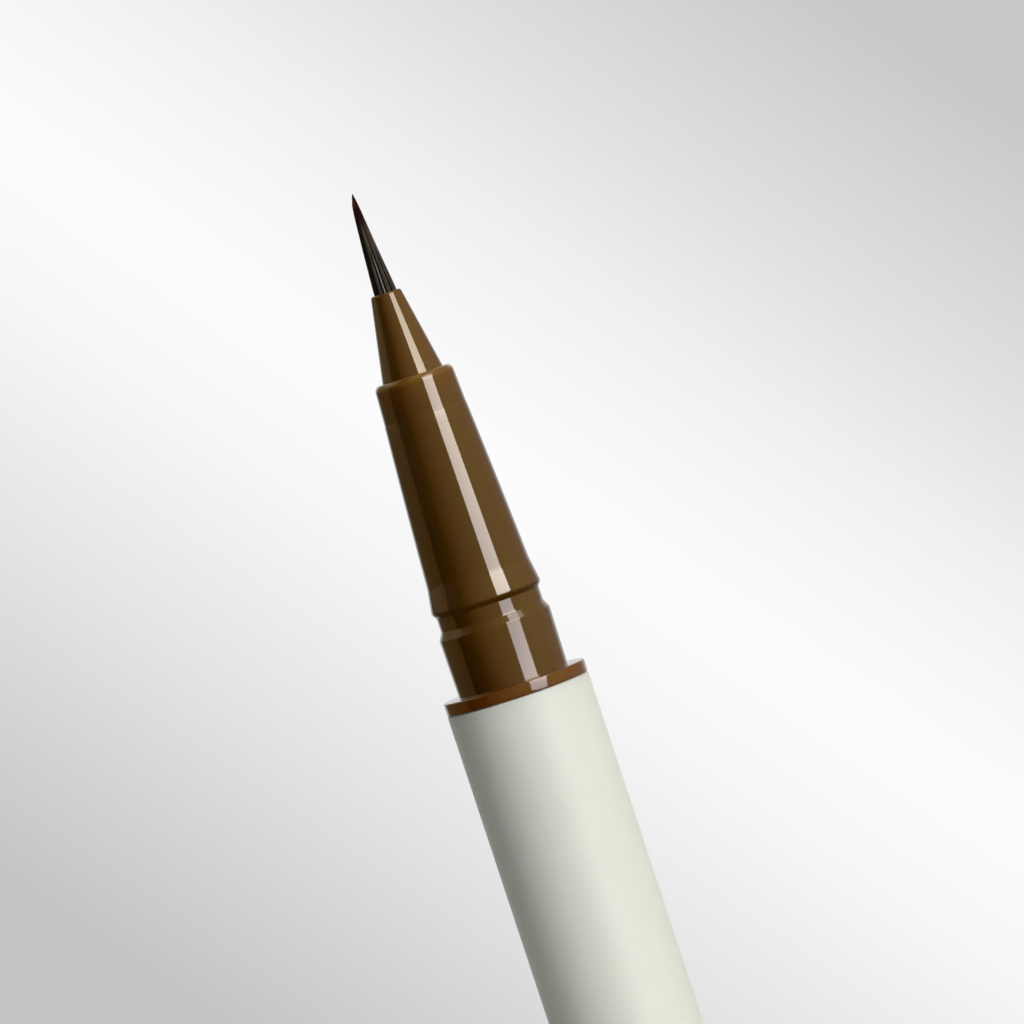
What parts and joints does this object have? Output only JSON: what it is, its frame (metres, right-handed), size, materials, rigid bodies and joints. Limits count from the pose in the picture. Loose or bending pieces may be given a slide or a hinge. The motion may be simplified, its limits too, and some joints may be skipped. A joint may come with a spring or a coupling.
{
  "type": "eyebrow pen",
  "caption": "Slim liquid eyebrow pen with a fine tapered brush tip, a glossy tapered front section, a matte barrel and a cap that clicks on, posted on its tail.",
  "frame": {"origin": "middle of the cap's end face, which the pen stands on", "axes": "+Z along the pen, from the posted cap to the tip of the brush; turned shape, so X and Y are alike"},
  "size_m": [0.01, 0.01, 0.1597],
  "materials": {
    "cream_matte": "fine satin cream moulded plastic",
    "brown_gloss": "polished dark brown moulded plastic",
    "dark_bristle": "tapered nylon bristles, near black, with a dark red tip",
    "white_inner": "plain white moulded inner parts",
    "white_fibre": "bonded fibre rod",
    "milky_tank": "milky translucent tank plastic",
    "bright_steel": "drawn stainless wire and ground ball"
  },
  "bodies": {
    "cap": {"cap_crown": "cream_matte", "cap_sleeve": "cream_matte", "inner_cap_spring": "bright_steel"},
    "inner_cap": {"inner_cap": "white_inner"},
    "pen": {"tail_plug": "cream_matte", "barrel": "cream_matte", "ink_tank": "milky_tank", "relay_core": "white_fibre", "collector": "white_inner", "front_section": "brown_gloss", "nozzle_cone": "brown_gloss", "brush_retainer": "white_inner", "brush_bristles": "dark_bristle"},
    "mixing_ball": {"mixing_ball": "bright_steel"}
  },
  "joints": [
    {"name": "pen_in_cap", "type": "slide", "parent": "cap", "child": "pen", "axis": [0, 0, 1], "range_m": [0, 0.012]},
    {"name": "inner_cap_travel", "type": "slide", "parent": "cap", "child": "inner_cap", "axis": [0, 0, -1], "range_m": [0, 0.0017], "stiffness_N_per_m": 100, "springref_m": -0.0003, "deforming": ["inner_cap_spring"]},
    {"name": "ball_rattle", "type": "slide", "parent": "pen", "child": "mixing_ball", "axis": [0, 0, 1], "range_m": [0, 0.035]}
  ]
}
